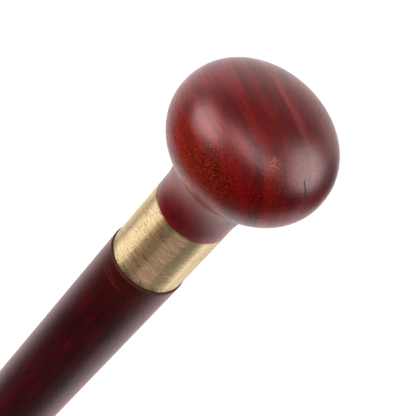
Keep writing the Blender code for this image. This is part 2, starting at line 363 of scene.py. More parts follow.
def lathe_rings(tree, place, per_mm):
    """Fine rings about the axis, as a lathe leaves them: a noise of the radius and the height."""
    flat = add(tree, "VectorMath", {0: place, 1: (1, 1, 0)}, operation="MULTIPLY")
    radius = add(tree, "VectorMath", {0: flat}, "Value", operation="LENGTH")
    height = add(tree, "SeparateXYZ", {0: place}, "Z")
    profile = add(tree, "CombineXYZ", {"X": radius, "Z": height})
    return add(tree, "TexNoise", {"Vector": profile, "Scale": per_mm / MM, "Detail": 2.0})


# Patterns, as how many go to a millimetre. Pores, brushing, tool rings and leather fibres are
# finer on a real stick, and are drawn as coarse as the render needs to show them
STREAKS_PER_MM = 0.85
HAIRLINES_PER_MM = 2.6
LAYER_WAVES_PER_MM = 0.12
KNOB_PORES_PER_MM = 2.9
KNOB_RINGS_PER_MM = 2.4
NECK_BLOTCHES_PER_MM = 0.2
SCUFF_AND_REFLECTION_NOISE_PER_MM = 1.1
PITS_PER_MM = 0.3
SHAFT_STREAKS_PER_MM = 0.5
SHAFT_MOTTLES_PER_MM = 0.32
SHAFT_PORES_PER_MM = 2.5
BRUSHING_PER_MM = 2.6
BRASS_SPECKS_PER_MM = 2.0
BRASS_PATCHES_PER_MM = 0.22
TOOL_RINGS_PER_MM = 4.0
ZINC_CLOUDS_PER_MM = 0.5
LEATHER_FIBRES_PER_MM = 2.0
RUBBER_BLOOM_PER_MM = 0.14
RUBBER_GRIT_PER_MM = 0.9

# How far patterns are drawn out along the fibres or the brushing: less is longer
STREAK_STRETCH = (1.0, 0.07, 0.05)
DRIFT_STRETCH = (0.30, 0.09, 0.05)
PORE_STRETCH = (1.0, 1.0, 0.16)
SHAFT_STRETCH = 0.12
BRUSHING_STRETCH = 0.3

# The knob's wood, in millimetres from the middle of its widest section. Its growth layers lie
# square to LAYER_NORMAL and its fibres run along FIBRE. Towards one side the layers bend.
LAYER_NORMAL = Vector((0.351, 0.619, 0.703)).normalized()
FIBRE = Vector((-0.109, -0.719, 0.687))
FIBRE = (FIBRE - LAYER_NORMAL * FIBRE.dot(LAYER_NORMAL)).normalized()
ACROSS = FIBRE.cross(LAYER_NORMAL)
BEND_START = -2.0
BEND_REACH = 30.0
BEND = 0.026
BEND_LEAST = 0.004
BEND_FADES_OVER = 18.0
LAYER_SWAY = 0.55

# Stain of each growth layer, by its place along LAYER_NORMAL
FIGURE_HALF_WIDTH = 26.0
FIGURE = [
    (-26.0, "#74050E"), (-21.0, "#800910"), (-18.0, "#8A1B12"), (-14.0, "#82170E"),
    (-11.0, "#6E080C"), (-8.5, "#760C0D"), (-6.0, "#72090D"), (-4.5, "#74090D"),
    (-2.5, "#6A090F"), (-1.0, "#5C0710"), (0.0, "#540711"), (1.0, "#6C0F10"),
    (2.2, "#701411"), (4.2, "#680D0E"), (6.0, "#580810"), (7.6, "#620A0E"),
    (9.0, "#53060F"), (10.5, "#49050F"), (11.6, "#50060F"), (12.5, "#7E2E30"),
    (13.6, "#6A1416"), (14.8, "#52070F"), (20.0, "#5C090F")]

# Marks on the knob, in the same millimetres. The scuff and the place polished by a thumb each
# have a middle, the radius within which they are full and the radius at which they end
SCUFF = ((7.9, -15.7, 13.0), 0.6, 2.3)
THUMBED = ((-14.0, -17.0, 8.5), 4.5, 9.0)
CRACK_MIDDLE = (18.4, -11.0, 9.0)
CRACK_LENGTH = 7.0
CRACK_HALF_WIDTH = (0.07, 0.24)
CRACK_DIRECTION = Vector((0.64, -0.08, -0.77))
CRACK_SIDEWAYS = Vector((-0.38, -0.86, -0.23))

# Heights of the knob's finish below its widest section, and of the reflection and highlight
# painted under it
PORES_OPEN_TO = 7 * MM
PORES_END = 15 * MM
CREASE_HIGHLIGHT_BELOW = 16 * MM
HOLLOW_REFLECTION_BELOW = 17 * MM
NECK_STAIN_FROM = 19 * MM
NECK_STAIN_FULL = 23 * MM

# Wood under satin lacquer: its polished fibres shine a little in the wood's own red, and hands
# leave a soft sheen on the shaft
LACQUERED = {"Metallic": 0.15, "Diffuse Roughness": 1.0, "IOR": 1.55}
HANDLED_SHEEN = {"Sheen Weight": 0.34, "Sheen Roughness": 0.3, "Sheen Tint": "#D81838"}

# Shaft: heights below its shoulder and above its foot. The scratches are millimetres below the
# shoulder, slope, azimuth and half the reach in degrees
HANDLED_FROM = 22 * MM
HANDLED_FULL = 4 * MM
GRIMY_EDGE_FROM = 0.7 * MM
GRIMY_EDGE_FULL = 0.3 * MM
SAWN_TO = 0.5 * MM
SAWN_FULL = 0.2 * MM
SHAFT_SCRATCHES = ((5.2, 0.03, -22, 26), (4.7, -0.15, -24, 16), (5.9, -0.04, -8, 10))
SCRATCH_HALF_WIDTH = (0.06 * MM, 0.22 * MM)
SCRATCH_STRENGTH = 0.45

# Sides, in degrees: azimuth from the camera's side, and how far off it they are full and end. The
# painted reflection under the knob is dimmest on the first, and the next three hold the collar's
# painted reflections and its painted dimming of a highlight
DIM_REFLECTION_SIDE = (-5, 15, 60)
DARK_REFLECTION_SIDE = (3, 24, 28)
RED_REFLECTION_STRIPE = (14, 4, 17)
DIMMED_HIGHLIGHT_SIDE = (76, 12, 24)
PITTED_SIDE = (-42, 12, 34)

# Spots and grime at the collar's ends, and dust on the sole
SPOTTED_HEIGHT = 3.5 * MM
GRIME_FROM = 0.35 * MM
GRIME_FULL = 0.1 * MM
DUSTY_HEIGHT = 1.6 * MM


def knob_grain(tree, place):
    """Place in the knob's wood: X through the growth layers, Y across them, Z along the fibres.

    The bent layers are s + k d^2 + sway, with s along LAYER_NORMAL and d the distance beyond
    BEND_START. k falls from BEND at s = 0 to BEND_LEAST where s is BEND_FADES_OVER.
    """
    turn = Matrix((LAYER_NORMAL, ACROSS, FIBRE))
    centre = turn @ Vector((0, 0, KNOB_WIDEST / MM))
    straight = add(tree, "Mapping", {"Vector": place, "Location": -centre,
                                     "Rotation": turn.to_euler(), "Scale": (1 / MM,) * 3})
    axes = add(tree, "SeparateXYZ", {0: straight}).node.outputs
    beyond = add(tree, "MapRange", {"Value": axes["Y"], 1: BEND_START, 2: BEND_START - BEND_REACH,
                                    4: BEND_REACH})
    rate = add(tree, "MapRange", {"Value": axes["X"], 1: 0.0, 2: BEND_FADES_OVER,
                                  3: BEND, 4: BEND_LEAST})
    wave = add(tree, "TexNoise", {"Vector": straight, "Scale": LAYER_WAVES_PER_MM, "Detail": 2.0})
    sway = add(tree, "MapRange", {"Value": wave, 1: 0.3, 2: 0.7, 3: -LAYER_SWAY, 4: LAYER_SWAY})
    squared = add(tree, "Math", {0: beyond, 1: beyond}, operation="MULTIPLY")
    bent = add(tree, "Math", {0: rate, 1: squared, 2: axes["X"]}, operation="MULTIPLY_ADD")
    layer = add(tree, "Math", {0: bent, 1: sway}, operation="ADD")
    grain = add(tree, "CombineXYZ", {"X": layer, "Y": axes["Y"], "Z": axes["Z"]})
    return grain, layer, axes["Y"]


def growth_layers(tree, grain, layer, across):
    """Stain of the growth layers, with the fine streaks and slow drift that vary it, lifted
    towards the low rim as painted light.

    The layers are calmer towards the crown's far side and in the late wood of the lower side.
    """
    share = add(tree, "MapRange", {"Value": layer, 1: -FIGURE_HALF_WIDTH, 2: FIGURE_HALF_WIDTH})
    figure = add(tree, "ValToRGB", {0: share}, stops=[
        ((mm + FIGURE_HALF_WIDTH) / (2 * FIGURE_HALF_WIDTH), code) for mm, code in FIGURE])
    far_side = add(tree, "MapRange", {"Value": across, 1: 4.0, 2: 14.0, 4: 0.45})
    low_side = add(tree, "MapRange", {"Value": across, 1: -4.0, 2: -11.0, 4: 0.7})
    late_wood = add(tree, "MapRange", {"Value": layer, 1: 9.0, 2: 11.0})
    calmed = coats(tree, figure, (far_side, "#5C0A10"),
                   (overlap(tree, low_side, late_wood), "#4C070E"))

    thin = add(tree, "VectorMath", {0: grain, 1: STREAK_STRETCH}, operation="MULTIPLY")
    long = add(tree, "VectorMath", {0: grain, 1: DRIFT_STRETCH}, operation="MULTIPLY")
    streak = add(tree, "TexNoise", {"Vector": thin, "Scale": STREAKS_PER_MM, "Detail": 4.0,
                                    "Roughness": 0.62})
    hairline = add(tree, "TexNoise", {"Vector": thin, "Scale": HAIRLINES_PER_MM, "Detail": 1.0})
    drift = add(tree, "TexNoise", {"Vector": long, "Scale": 1.0, "Detail": 1.0})
    # The third tone lifts the stain up to 2.3 times at the low rim: painted light from below
    tones = [add(tree, "MapRange", {"Value": value, 1: first, 2: last, 3: low, 4: high})
             for value, first, last, low, high in (
                 (streak, 0.3, 0.7, 0.86, 1.42), (drift, 0.3, 0.7, 0.78, 1.22),
                 (across, -19.0, -24.0, 1.0, 2.3), (hairline, 0.32, 0.68, 0.82, 1.20))]
    toned = add(tree, "VectorMath", {0: calmed, "Scale": overlap(tree, *tones)},
                operation="SCALE")
    return toned, streak, drift


def open_pores(tree, place, height, layer, across):
    """Where the knob's pores are open, and its low side, where they are redder.

    They are open where the fibres come out of the surface, worn smooth where a thumb lies, and
    filled elsewhere.
    """
    inner = add(tree, "MapRange", {"Value": layer, 1: 10.0, 2: 4.0, 3: 0.1, 4: 0.8})
    lower = add(tree, "MapRange", {"Value": across, 1: -7.0, 2: -14.0, 3: 0.15, 4: 1.0})
    outer = add(tree, "MapRange", {"Value": layer, 1: -3.0, 2: -11.0, 3: 0.22, 4: 1.0})
    crown_side = add(tree, "MapRange", {"Value": across, 1: 2.0, 2: 12.0, 3: 1.0, 4: 0.5})
    above_neck = add(tree, "MapRange", {"Value": height, 1: KNOB_WIDEST - PORES_END,
                                        2: KNOB_WIDEST - PORES_OPEN_TO, 3: 0.05, 4: 1.0})
    thumbed = add(tree, "MapRange", {"Value": near(tree, place, *THUMBED), 3: 1.0, 4: 0.35})
    low_side = overlap(tree, inner, lower)
    either = add(tree, "Math", {0: low_side, 1: overlap(tree, outer, crown_side)},
                 operation="MAXIMUM")
    return overlap(tree, either, above_neck, thumbed), low_side


def deeper_stain(tree, place, height, toned, streak, low_side):
    """Deeper red on the low side and on the neck, where the stain lies in soft blotches."""
    depth = add(tree, "MapRange", {"Value": streak, 1: 0.36, 2: 0.62, 3: 0.80, 4: 1.16})
    deep = add(tree, "VectorMath", {0: toned, 1: (1.16, 0.3, 0.4)}, operation="MULTIPLY")
    deep = add(tree, "VectorMath", {0: deep, "Scale": depth}, operation="SCALE")
    on_neck = add(tree, "MapRange", {"Value": height, 1: KNOB_WIDEST - NECK_STAIN_FROM,
                                     2: KNOB_WIDEST - NECK_STAIN_FULL, 4: 0.8})
    red_part = add(tree, "Math", {0: low_side, 1: on_neck}, operation="MAXIMUM")
    blotches = add(tree, "TexNoise", {"Vector": place, "Scale": NECK_BLOTCHES_PER_MM / MM,
                                      "Detail": 4.0, "Roughness": 0.6})
    neck_stain = add(tree, "ValToRGB", {0: blotches}, stops=[
        (0.36, "#5C0208"), (0.50, "#7E0307"), (0.64, "#9A080A")])
    return coats(tree, toned, (red_part, deep), (overlap(tree, on_neck, 0.6), neck_stain))


def painted_hollow_light(tree, place, drift, scuff_and_reflection_noise):
    """Pale band painted in the hollow under the knob as a reflection, and a paler line painted as
    a highlight where the underside turns into the neck, both dimmer on the side towards the
    camera.
    """
    undimmed = add(tree, "MapRange", {"Value": facing(tree, place, *DIM_REFLECTION_SIDE), 3: 1.0, 4: 0.3})
    broken_reflection = add(tree, "MapRange", {"Value": scuff_and_reflection_noise, 1: 0.40, 2: 0.58, 3: 0.5, 4: 1.0})
    left = []
    for below, first, last, thin, thick, fall in (
            (HOLLOW_REFLECTION_BELOW, 1.0 * MM, 5.0 * MM, 0.28, 0.5, "SMOOTHSTEP"),
            (CREASE_HIGHLIGHT_BELOW, 0.5 * MM, 1.5 * MM, 0.15, 0.42, "LINEAR")):
        ring = band(tree, place, (0, 0, 1), KNOB_WIDEST - below, first, last,
                    interpolation_type=fall)
        patchy = add(tree, "MapRange", {"Value": drift, 1: 0.35, 2: 0.6, 3: thin, 4: thick})
        left.append(overlap(tree, ring, patchy, undimmed, broken_reflection))
    return left


def crack_mark(tree, place):
    """Hairline drying crack: 1 near its plane and within its length, on this side of the knob."""
    point = Vector(CRACK_MIDDLE) * MM + Vector((0, 0, KNOB_WIDEST))
    parts = [near(tree, place, CRACK_MIDDLE, CRACK_LENGTH, CRACK_LENGTH + 1)]
    for direction, first, last in ((CRACK_SIDEWAYS, *CRACK_HALF_WIDTH),
                                   (CRACK_DIRECTION, CRACK_LENGTH / 3, CRACK_LENGTH / 2)):
        middle = point.dot(direction)
        parts.append(band(tree, place, direction, middle, first * MM, last * MM))
    return overlap(tree, *parts)


def red_hardwood():
    """Red tropical hardwood, turned, stained and lacquered.

    Its growth layers show as dark and light streaks round the knob, and its pores as short
    orange flecks that become dots where the fibres end in the surface. The lacquer is satin,
    with a pale scuff, a hairline crack and a few pits. A pale reflection and a highlight are
    painted in the hollow under the knob, and the stain is lifted towards the low rim as painted
    light.
    """
    made, tree, shader, place = new_material("red hardwood, turned and lacquered")
    height = add(tree, "SeparateXYZ", {0: place}, "Z")
    grain, layer, across = knob_grain(tree, place)
    toned, streak, drift = growth_layers(tree, grain, layer, across)
    opened, low_side = open_pores(tree, place, height, layer, across)
    stained = deeper_stain(tree, place, height, toned, streak, low_side)

    # Pores: filled with pale orange or with dark grime
    pore_place = add(tree, "VectorMath", {0: grain, 1: PORE_STRETCH}, operation="MULTIPLY")
    pores = add(tree, "TexNoise", {"Vector": pore_place, "Scale": KNOB_PORES_PER_MM,
                                   "Detail": 2.0, "Roughness": 0.6})
    pale = add(tree, "MapRange", {"Value": pores, 1: 0.53, 2: 0.60, 4: 0.85})
    dark = add(tree, "MapRange", {"Value": pores, 1: 0.47, 2: 0.37, 4: 0.65})
    orange = coats(tree, "#B4441E", (low_side, "#A42C14"))

    # Painted reflection and painted highlight in the hollow, scuff, crack and pits
    scuff_and_reflection_noise = add(tree, "TexNoise", {"Vector": place, "Scale": SCUFF_AND_REFLECTION_NOISE_PER_MM / MM, "Detail": 2.0})
    hollow_reflection, crease_highlight = painted_hollow_light(tree, place, drift, scuff_and_reflection_noise)
    broken = add(tree, "MapRange", {"Value": scuff_and_reflection_noise, 1: 0.42, 2: 0.62})
    scuff = overlap(tree, near(tree, place, *SCUFF), broken)
    pit_field = add(tree, "TexVoronoi", {"Vector": place, "Scale": PITS_PER_MM / MM}, "Distance")
    pit = add(tree, "MapRange", {"Value": pit_field, 1: 0.04, 2: 0.07, 3: 0.85, 4: 0.0})
    flaw = add(tree, "Math", {0: pit, 1: crack_mark(tree, place)}, operation="MAXIMUM")
    # The #A86864 band and the #DCB4AC line under the knob are a painted reflection and a painted
    # highlight
    wood = coats(tree, stained, (overlap(tree, pale, opened), orange),
                 (overlap(tree, dark, opened), "#3C0308"), (hollow_reflection, "#A86864"),
                 (crease_highlight, "#DCB4AC"), (scuff, "#A0604C"), (flaw, "#1E0406"))

    # Satin lacquer, a little dull along some streaks, with faint marks of the lathe
    gloss = add(tree, "MapRange", {"Value": streak, 1: 0.3, 2: 0.7, 3: 0.36, 4: 0.30})
    rough = roughened(tree, gloss, (scuff, 0.25), (hollow_reflection, 0.2), (crease_highlight, 0.4), (flaw, 0.6))
    marks = add(tree, "Bump", {"Height": lathe_rings(tree, place, KNOB_RINGS_PER_MM),
                               "Strength": 0.12, "Distance": 0.2 * MM})
    sunk = add(tree, "Bump", {"Height": pores, "Strength": 0.1, "Distance": 0.2 * MM,
                              "Normal": marks})
    connect(tree, shader, {"Base Color": wood, "Roughness": rough, "Normal": sunk, **LACQUERED})
    return made


def ring_scratch(tree, place, below, slope, azimuth, reach):
    """Shallow scratch part of the way round the shaft: 1 where z - slope x is its height."""
    line = band(tree, place, (-slope, 0, 1), SHOULDER - below * MM, *SCRATCH_HALF_WIDTH)
    side = facing(tree, place, azimuth, reach / 2, reach)
    return overlap(tree, line, side, SCRATCH_STRENGTH)


def dark_hardwood():
    """Hardwood stained oxblood and lacquered: near black, mottled brown, with a red glow.

    Below the collar hands have worn it warmer, and it has a grimy edge and three scratches.
    The foot is sawn off and left unstained, so its end grain is dull brown with open pores.
    """
    made, tree, shader, place = new_material("dark hardwood, stained and lacquered")
    height = add(tree, "SeparateXYZ", {0: place}, "Z")
    grain = add(tree, "VectorMath", {0: place, 1: (1 / MM, 1 / MM, SHAFT_STRETCH / MM)},
                operation="MULTIPLY")
    streak = add(tree, "TexNoise", {"Vector": grain, "Scale": SHAFT_STREAKS_PER_MM,
                                    "Detail": 5.0, "Roughness": 0.6})
    mottle = add(tree, "TexNoise", {"Vector": place, "Scale": SHAFT_MOTTLES_PER_MM / MM,
                                    "Detail": 3.0, "Roughness": 0.65})
    pores = add(tree, "TexNoise", {"Vector": place, "Scale": SHAFT_PORES_PER_MM / MM,
                                   "Detail": 2.0})
    stain = add(tree, "ValToRGB", {0: streak}, stops=[
        (0.30, "#2C0508"), (0.46, "#38050A"), (0.60, "#4C040D"), (0.75, "#60050F")])
    sawn_tone = add(tree, "ValToRGB", {0: pores}, stops=[
        (0.36, "#3A1E14"), (0.46, "#7C4C34"), (0.70, "#946044")])
    mottled = add(tree, "MapRange", {"Value": mottle, 1: 0.50, 2: 0.68, 4: 0.55})
    patchy = add(tree, "MapRange", {"Value": mottle, 1: 0.35, 2: 0.6, 3: 0.3, 4: 1.0})
    handled, grimy, sawn = [
        add(tree, "MapRange", {"Value": height, 1: first, 2: last, 4: most})
        for first, last, most in (
            (SHOULDER - HANDLED_FROM, SHOULDER - HANDLED_FULL, 0.5),
            (SHOULDER - GRIMY_EDGE_FROM, SHOULDER - GRIMY_EDGE_FULL, 0.6),
            (SHAFT_FOOT + SAWN_TO, SHAFT_FOOT + SAWN_FULL, 1.0))]
    scratches = [(ring_scratch(tree, place, *scratch), "#A04A34") for scratch in SHAFT_SCRATCHES]
    wood = coats(tree, stain, (mottled, "#340A06"), (overlap(tree, patchy, handled), "#5E140A"),
                 (grimy, "#481408"), *scratches, (sawn, sawn_tone))
    gloss = add(tree, "MapRange", {"Value": pores, 1: 0.35, 2: 0.65, 3: 0.36, 4: 0.26})
    rough = roughened(tree, gloss, (sawn, 0.5), (grimy, 0.6))
    waves = add(tree, "Bump", {"Height": streak, "Strength": 0.06, "Distance": 0.3 * MM})
    fine = add(tree, "Bump", {"Height": pores, "Strength": 0.16, "Distance": 0.2 * MM,
                              "Normal": waves})
    connect(tree, shader, {"Base Color": wood, "Roughness": rough, "Normal": fine,
                           **LACQUERED, **HANDLED_SHEEN})
    return made


def brass_specks(tree, place, height):
    """Specks in patches, thickest on the pitted side, and the spots along the lower edge."""
    fine = add(tree, "TexNoise", {"Vector": place, "Scale": BRASS_SPECKS_PER_MM / MM,
                                  "Detail": 2.0})
    patches = add(tree, "TexNoise", {"Vector": place, "Scale": BRASS_PATCHES_PER_MM / MM,
                                     "Detail": 1.0})
    low_edge = add(tree, "MapRange", {"Value": height, 1: collar_low.z + SPOTTED_HEIGHT,
                                      2: collar_low.z, 4: 0.32})
    joined = add(tree, "Math", {0: patches, 1: 0.55, 2: fine}, operation="MULTIPLY_ADD")
    on_side = add(tree, "Math", {0: facing(tree, place, *PITTED_SIDE), 1: 0.08, 2: joined},
                  operation="MULTIPLY_ADD")
    on_edge = add(tree, "Math", {0: joined, 1: low_edge}, operation="ADD")
    speck = add(tree, "MapRange", {"Value": on_side, 1: 0.98, 2: 1.05, 4: 0.7})
    spot = add(tree, "MapRange", {"Value": on_edge, 1: 0.92, 2: 1.05, 4: 0.7})
    return speck, spot


def brushed_brass():
    """Brass tube, brushed round its axis in a lathe.

    The brushing shows as fine rings. Reflections are painted on the side towards the camera: a
    brown band as a dark reflection, a rosy stripe in it as the red knob's reflection, and a greyer
    band at 76 degrees that paints a highlight dimmer.
    There are specks in patches, grime in the joint above and spots along the lower edge.
    """
    made, tree, shader, place = new_material("brass, brushed round the tube")
    height = add(tree, "SeparateXYZ", {0: place}, "Z")
    lines = add(tree, "VectorMath", {0: place, 1: (
        BRUSHING_STRETCH / MM, BRUSHING_STRETCH / MM, BRUSHING_PER_MM / MM)}, operation="MULTIPLY")
    brushing = add(tree, "TexNoise", {"Vector": lines, "Scale": 1.0, "Detail": 3.0,
                                      "Roughness": 0.7})
    bare = add(tree, "ValToRGB", {0: brushing}, stops=[
        (0.28, "#A88A60"), (0.42, "#D8BC8E"), (0.58, "#EAD2A4"), (0.72, "#F0DCB0")])
    brown = add(tree, "ValToRGB", {0: brushing}, stops=[
        (0.30, "#8A6A46"), (0.43, "#CCA678"), (0.58, "#DFB98A"), (0.72, "#EECA9C")])
    rosy = add(tree, "ValToRGB", {0: brushing}, stops=[
        (0.34, "#B4845E"), (0.46, "#E0B088"), (0.56, "#F2CAA4"), (0.70, "#FADAB6")])
    dark_reflection_band, red_reflection_stripe, dimmed_highlight = [facing(tree, place, *side) for side in (
        DARK_REFLECTION_SIDE, RED_REFLECTION_STRIPE, DIMMED_HIGHLIGHT_SIDE)]
    speck, spot = brass_specks(tree, place, height)
    grime = add(tree, "MapRange", {"Value": height, 1: collar_high.z - GRIME_FROM,
                                   2: collar_high.z - GRIME_FULL, 4: 0.35})
    # The brown band and the rosy stripe are painted reflections, and the greyer band is a painted
    # dimming of a highlight. The spots, specks and grime are the brass's own
    tone = coats(tree, bare, (dark_reflection_band, brown), (red_reflection_stripe, rosy), (dimmed_highlight, "#B6A488"),
                 (spot, "#75603E"), (speck, "#4A3620"), (grime, "#4A2A1C"))
    metal = add(tree, "MapRange", {"Value": red_reflection_stripe, 3: 0.75, 4: 0.45})
    rough = add(tree, "MapRange", {"Value": brushing, 1: 0.3, 2: 0.7, 3: 0.51, 4: 0.43})
    ring = add(tree, "Tangent", direction_type="RADIAL", axis="Z")
    connect(tree, shader, {"Base Color": tone, "Metallic": metal, "Roughness": rough,
                           "Anisotropic": 1.0, "Anisotropic Rotation": 0.25, "Tangent": ring})
    return made


def turned_brass():
    """Free-cutting brass turned from bar: bright, with fine tool rings."""
    made, tree, shader, place = new_material("brass, turned from bar")
    rings = lathe_rings(tree, place, TOOL_RINGS_PER_MM)
    tone = add(tree, "ValToRGB", {0: rings}, stops=[
        (0.30, "#B88E4C"), (0.50, "#DDB878"), (0.70, "#E8C88C")])
    rough = add(tree, "MapRange", {"Value": rings, 1: 0.3, 2: 0.7, 3: 0.38, 4: 0.26})
    cuts = add(tree, "Bump", {"Height": rings, "Strength": 0.15, "Distance": 0.1 * MM})
    connect(tree, shader, {"Base Color": tone, "Metallic": 1.0, "Roughness": rough,
                           "Normal": cuts})
    return made


def plated_steel():
    """Steel, zinc plated: cool grey with pale clouds and a few dull spots."""
    made, tree, shader, place = new_material("steel, zinc plated")
    cloud = add(tree, "TexNoise", {"Vector": place, "Scale": ZINC_CLOUDS_PER_MM / MM,
                                   "Detail": 4.0, "Roughness": 0.6})
    tone = add(tree, "ValToRGB", {0: cloud}, stops=[
        (0.30, "#92959A"), (0.50, "#B4B6B9"), (0.70, "#C9CACC")])
    rough = add(tree, "MapRange", {"Value": cloud, 1: 0.3, 2: 0.7, 3: 0.46, 4: 0.3})
    connect(tree, shader, {"Base Color": tone, "Metallic": 1.0, "Roughness": rough})
    return made


def cut_leather():
    """Vegetable tanned cowhide, punched from a sheet: matt brown, with a fibrous nap."""
    made, tree, shader, place = new_material("leather, punched from a sheet")
    fibres = add(tree, "TexNoise", {"Vector": place, "Scale": LEATHER_FIBRES_PER_MM / MM,
                                    "Detail": 4.0, "Roughness": 0.65})
    tone = add(tree, "ValToRGB", {0: fibres}, stops=[
        (0.30, "#3A2212"), (0.50, "#5C3A22"), (0.70, "#7A5032")])
    nap = add(tree, "Bump", {"Height": fibres, "Strength": 0.4, "Distance": 0.2 * MM})
    connect(tree, shader, {"Base Color": tone, "Roughness": 0.8, "Normal": nap})
    return made


def black_rubber():
    """Moulded natural rubber: matt black with a faint grey bloom, dusty on its worn sole."""
    made, tree, shader, place = new_material("rubber, moulded")
    height = add(tree, "SeparateXYZ", {0: place}, "Z")
    bloom = add(tree, "TexNoise", {"Vector": place, "Scale": RUBBER_BLOOM_PER_MM / MM,
                                   "Detail": 5.0, "Roughness": 0.6})
    grit = add(tree, "TexNoise", {"Vector": place, "Scale": RUBBER_GRIT_PER_MM / MM,
                                  "Detail": 4.0})
    tone = add(tree, "ValToRGB", {0: bloom}, stops=[
        (0.35, "#1C1C1D"), (0.55, "#242425"), (0.72, "#303031")])
    gritty = add(tree, "MapRange", {"Value": grit, 1: 0.4, 2: 0.65, 3: 0.1, 4: 0.7})
    sole = add(tree, "MapRange", {"Value": height, 1: tip_low.z + DUSTY_HEIGHT, 2: tip_low.z})
    rubber = coats(tree, tone, (overlap(tree, sole, gritty), "#5A564F"))
    rough = add(tree, "MapRange", {"Value": bloom, 1: 0.3, 2: 0.7, 3: 0.52, 4: 0.68})
    grained = add(tree, "Bump", {"Height": grit, "Strength": 0.12, "Distance": 0.3 * MM})
    connect(tree, shader, {"Base Color": rubber, "Roughness": rough, "Normal": grained})
    return made


def finish(piece, node, body, material):
    """Give a piece its material and the body it rides on, and hide the CAD node that it stands
    for.
    """
    piece.data.materials.append(material)
    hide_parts(node)
    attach(piece, body)


def knob_piece():
    """Crown, underside and cove down to the neck, with the blind bore inside."""
    crown = superellipse(CROWN_HEIGHT, CROWN_FULLNESS, 0, KNOB_RADIUS, CROWN_ROWS)
    underside = superellipse(-UNDERSIDE_DEPTH, UNDERSIDE_FULLNESS, KNOB_RADIUS,
                             NECK_RADIUS + COVE_WIDTH, UNDERSIDE_ROWS)
    cove_top = underside[-1]
    slope = cove_top - underside[-2]
    slope = slope / np.hypot(*slope)
    waist = np.array([NECK_RADIUS, NECK_FACE + NECK_STRAIGHT])
    cove = bezier(cove_top, cove_top + slope * COVE_UPPER_REACH,
                  waist + np.array([0, COVE_LOWER_REACH]), waist, COVE_ROWS)
    neck_end = rounded([tuple(waist), (NECK_RADIUS, NECK_FACE), (DRILLED_RADIUS, NECK_FACE)],
                       [0, NECK_EDGE, 0])
    bore_top = insert_high.z + FIT_GAP
    bore = [(DRILLED_RADIUS, bore_top), (0, bore_top + DRILL_POINT_LENGTH)]
    outline = np.vstack([crown[:-1], underside[:-1], cove[:-1], neck_end, bore])
    outline[0, 0] = 0
    piece = turned("turned_knob", outline, KNOB_FACETS)
    finish(piece, "knob", "knob", red_hardwood())


def collar_piece():
    """Brass tube with softened outer edges."""
    bore = NECK_RADIUS - COLLAR_WALL
    outline = rounded([(NECK_RADIUS, collar_high.z), (NECK_RADIUS, collar_low.z),
                       (bore, collar_low.z), (bore, collar_high.z)],
                      [COLLAR_TOP_EDGE, COLLAR_BOTTOM_EDGE, 0, 0])
    piece = turned("brass_collar", outline, COLLAR_FACETS)
    finish(piece, "collar", "stick", brushed_brass())


def shaft_piece():
    """Tapered shaft with its shoulder, tenon and blind bore."""
    bore_bottom = lower_insert_low.z - FIT_GAP
    outline = rounded(
        [(0, bore_bottom - DRILL_POINT_LENGTH), (DRILLED_RADIUS, bore_bottom),
         (DRILLED_RADIUS, shaft_high.z), (TENON_RADIUS, shaft_high.z), (TENON_RADIUS, SHOULDER),
         (shaft_radius(SHOULDER), SHOULDER), (shaft_radius(SHAFT_FOOT), SHAFT_FOOT),
         (0, SHAFT_FOOT)],
        [0, 0, 0, TENON_EDGE, 0, SHAFT_SHOULDER_EDGE, SHAFT_FOOT_EDGE, 0])
    piece = turned("stained_shaft", outline, SHAFT_FACETS)
    finish(piece, "shaft", "stick", dark_hardwood())


def stud_piece():
    """Threaded stud. A bevel as high as the thread is deep takes the thread off at both ends."""
    def relief(radius, height, angle):
        from_end = np.minimum(height - stud_low.z, stud_high.z - height)
        return np.maximum(thread_groove(height, angle), THREAD_DEPTH - from_end)

    outline = np.vstack([[(0, stud_high.z)], wall_rows(STUD_RADIUS, stud_high.z, stud_low.z),
                         [(0, stud_low.z)]])
    piece = turned("threaded_stud", outline, THREAD_FACETS, relief)
    finish(piece, "stud", "stick", plated_steel())


def cut_driver_slot(piece, end):
    """Cut a slot straight across one end of an insert, for the driver that turns it in."""
    reach = 2 * INSERT_RADIUS
    half = DRIVER_SLOT_WIDTH / 2
    heights = (end - DRIVER_SLOT_DEPTH, end + DRIVER_SLOT_DEPTH)
    corners = [(x, y, z) for x in (-reach, reach) for y in (-half, half) for z in heights]
    sides = [(0, 1, 3, 2), (4, 6, 7, 5), (0, 4, 5, 1), (2, 3, 7, 6), (0, 2, 6, 4), (1, 5, 7, 3)]
    mesh = bpy.data.meshes.new("driver_slot")
    mesh.from_pydata(corners, [], sides)
    cutter = put("driver_slot", mesh)
    cut = piece.modifiers.new("Driver slot", "BOOLEAN")
    cut.operation = "DIFFERENCE"
    cut.object = cutter
    graph = bpy.context.evaluated_depsgraph_get()
    piece.data = bpy.data.meshes.new_from_object(piece.evaluated_get(graph))
    piece.modifiers.clear()
    bpy.data.objects.remove(cutter)
    smooth(piece.data)


